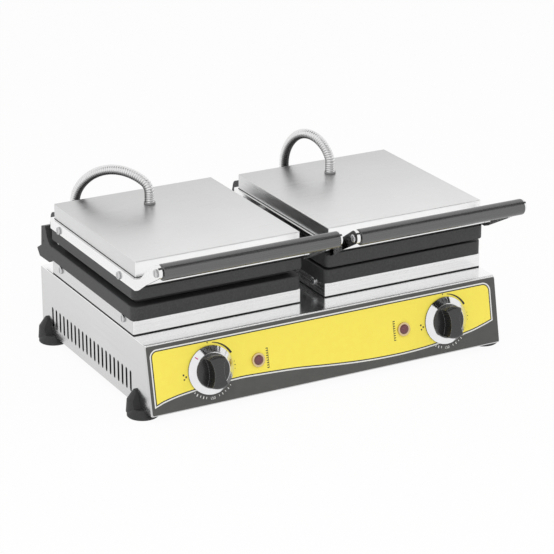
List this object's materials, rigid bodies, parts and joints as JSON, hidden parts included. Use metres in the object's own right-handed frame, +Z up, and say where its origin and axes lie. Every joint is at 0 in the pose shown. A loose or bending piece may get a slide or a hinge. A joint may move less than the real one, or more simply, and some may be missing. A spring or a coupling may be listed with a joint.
{
  "type": "double waffle maker",
  "caption": "Countertop electric waffle maker with side-by-side cast waffle plates, hinged stainless lids with bar handles, ribbed conduits and thermostat knobs.",
  "frame": {"origin": "centre of the bounding box, on the table under the feet", "axes": "+X to the right along the front, +Y to the back, +Z up; the controls face -Y"},
  "size_m": [0.61, 0.4442, 0.2791],
  "materials": {
    "stainless": "brushed",
    "fascia": "satin print",
    "rubber": "matte",
    "screws": "bright zinc",
    "gland": "nickel plated",
    "cable_gland": "moulded",
    "ceramic": "glazed",
    "sleeving": "woven glass sleeve",
    "thermostat": "stamped",
    "bezel": "polished",
    "lens": "tinted",
    "casting": "black coated",
    "element": "oxidised",
    "insulation": "mineral board",
    "conduit": "ribbed",
    "grip": "satin",
    "chrome": "polished"
  },
  "bodies": {
    "base": {"base_housing": "stainless", "rear_panel": "stainless", "bottom_plate": "stainless", "front_fascia": "fascia", "foot_front_left": "rubber", "foot_front_right": "rubber", "foot_rear_left": "rubber", "foot_rear_right": "rubber", "chassis_screws": "screws", "cord_gland": "cable_gland", "terminal_block": "ceramic", "wiring_loom": "sleeving", "hinge_clips": "screws", "skirt_screws": "screws", "thermostat_left": "thermostat", "lamp_bezel_left": "bezel", "lamp_lens_left": "lens", "lower_skirt_left": "stainless", "lower_plate_left": "casting", "lower_element_left": "element", "lower_insulation_left": "insulation", "hinge_pins_left": "screws", "conduit_socket_left": "gland", "conduit_left": "conduit", "thermostat_right": "thermostat", "lamp_bezel_right": "bezel", "lamp_lens_right": "lens", "lower_skirt_right": "stainless", "lower_plate_right": "casting", "lower_element_right": "element", "lower_insulation_right": "insulation", "hinge_pins_right": "screws", "conduit_socket_right": "gland", "conduit_right": "conduit"},
    "lid_left": {"lid_cover_left": "stainless", "lid_frame_left": "stainless", "upper_plate_left": "casting", "upper_element_left": "element", "upper_insulation_left": "insulation", "handle_grip_left": "grip", "handle_rod_left": "screws", "handle_screws_left": "screws", "lid_screws_left": "screws", "lid_gland_left": "gland"},
    "lid_right": {"lid_cover_right": "stainless", "lid_frame_right": "stainless", "upper_plate_right": "casting", "upper_element_right": "element", "upper_insulation_right": "insulation", "handle_grip_right": "grip", "handle_rod_right": "screws", "handle_screws_right": "screws", "lid_screws_right": "screws", "lid_gland_right": "gland"},
    "dial_left": {"knob_left": "grip", "knob_skirt_left": "chrome", "spindle_left": "screws"},
    "dial_right": {"knob_right": "grip", "knob_skirt_right": "chrome", "spindle_right": "screws"}
  },
  "joints": [
    {"name": "lid_hinge_left", "type": "hinge", "parent": "base", "child": "lid_left", "pos_m": [-0.1515, 0.1931, 0.17], "axis": [-1, 0, 0], "range_deg": [0, 95], "deforming": ["conduit_left"]},
    {"name": "lid_hinge_right", "type": "hinge", "parent": "base", "child": "lid_right", "pos_m": [0.154, 0.1931, 0.17], "axis": [-1, 0, 0], "range_deg": [0, 95], "deforming": ["conduit_right"]},
    {"name": "dial_turn_left", "type": "hinge", "parent": "base", "child": "dial_left", "pos_m": [-0.191, -0.16499, 0.0611], "axis": [0, 0.9806, -0.1959], "range_deg": [0, 270]},
    {"name": "dial_turn_right", "type": "hinge", "parent": "base", "child": "dial_right", "pos_m": [0.1955, -0.16499, 0.0611], "axis": [0, 0.9806, -0.1959], "range_deg": [0, 270]}
  ]
}
